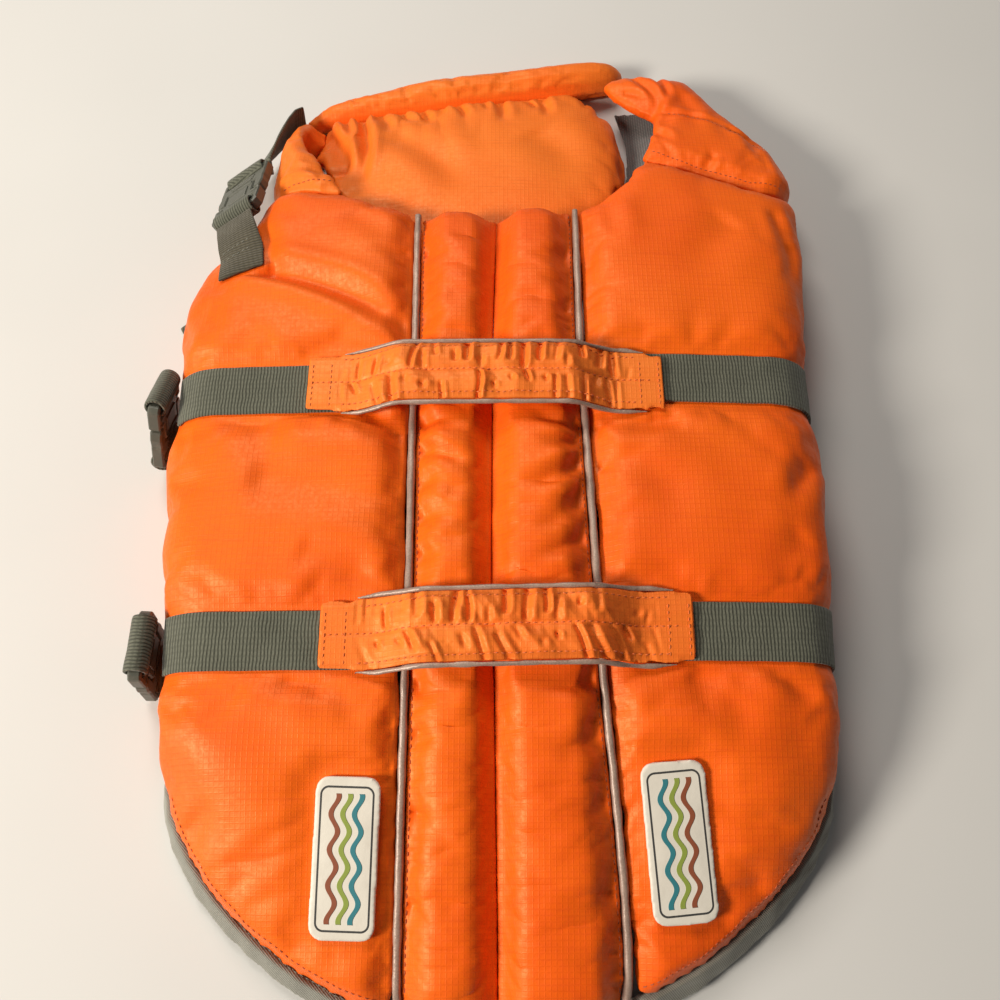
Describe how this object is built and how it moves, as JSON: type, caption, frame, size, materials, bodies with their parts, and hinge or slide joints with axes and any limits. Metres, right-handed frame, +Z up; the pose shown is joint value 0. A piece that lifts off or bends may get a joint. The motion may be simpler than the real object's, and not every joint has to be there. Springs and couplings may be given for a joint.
{
  "type": "dog life jacket",
  "caption": "Padded orange dog life jacket on its belly: rounded back with grab handles, webbing, side-release buckles, hem binding, shoulder wings and a chin float.",
  "frame": {"origin": "middle of the jacket's footprint at the height of the surface it lies on", "axes": "+Y from the tail to the neck, +Z up out of the back, +X to the right side seen from the tail"},
  "size_m": [0.3431, 0.5391, 0.0729],
  "materials": {
    "orange_ripstop": "bright orange nylon ripstop with a faint sheen",
    "grey_webbing": "ribbed grey-green polypropylene webbing",
    "grey_binding": "grey woven binding tape",
    "reflective_piping": "flat grey-beige reflective strip",
    "grey_lining": "plain grey mesh lining",
    "grey_buckle_plastic": "satin moulded acetal",
    "off_white_rubber": null
  },
  "bodies": {
    "root": {"belly_strap_lower": "grey_webbing", "belly_strap_upper": "grey_webbing", "buckle_lower_prong": "grey_buckle_plastic", "buckle_lower_socket": "grey_buckle_plastic", "buckle_neck_prong": "grey_buckle_plastic", "buckle_neck_socket": "grey_buckle_plastic", "buckle_upper_prong": "grey_buckle_plastic", "buckle_upper_socket": "grey_buckle_plastic", "chin_float": "orange_ripstop", "float_band": "orange_ripstop", "handle_lower": "orange_ripstop", "handle_lower_piping_front": "reflective_piping", "handle_lower_piping_rear": "reflective_piping", "handle_upper": "orange_ripstop", "handle_upper_piping_front": "reflective_piping", "handle_upper_piping_rear": "reflective_piping", "hem_binding_left": "grey_binding", "hem_binding_right": "grey_binding", "label_left": "off_white_rubber", "label_right": "off_white_rubber", "loop_lower": "grey_webbing", "loop_neck": "grey_webbing", "loop_upper": "grey_webbing", "neck_lining": "grey_lining", "neck_strap": "grey_webbing", "neck_tab": "grey_webbing", "piping_left": "reflective_piping", "piping_right": "reflective_piping", "shoulder_wing_left": "orange_ripstop", "shoulder_wing_right": "orange_ripstop", "side_panel_left": "orange_ripstop", "side_panel_right": "orange_ripstop", "spine_channel_left": "orange_ripstop", "spine_channel_right": "orange_ripstop", "strap_end": "grey_webbing", "webbing_lower_left": "grey_webbing", "webbing_lower_right": "grey_webbing", "webbing_upper_left": "grey_webbing", "webbing_upper_right": "grey_webbing"}
  },
  "joints": []
}
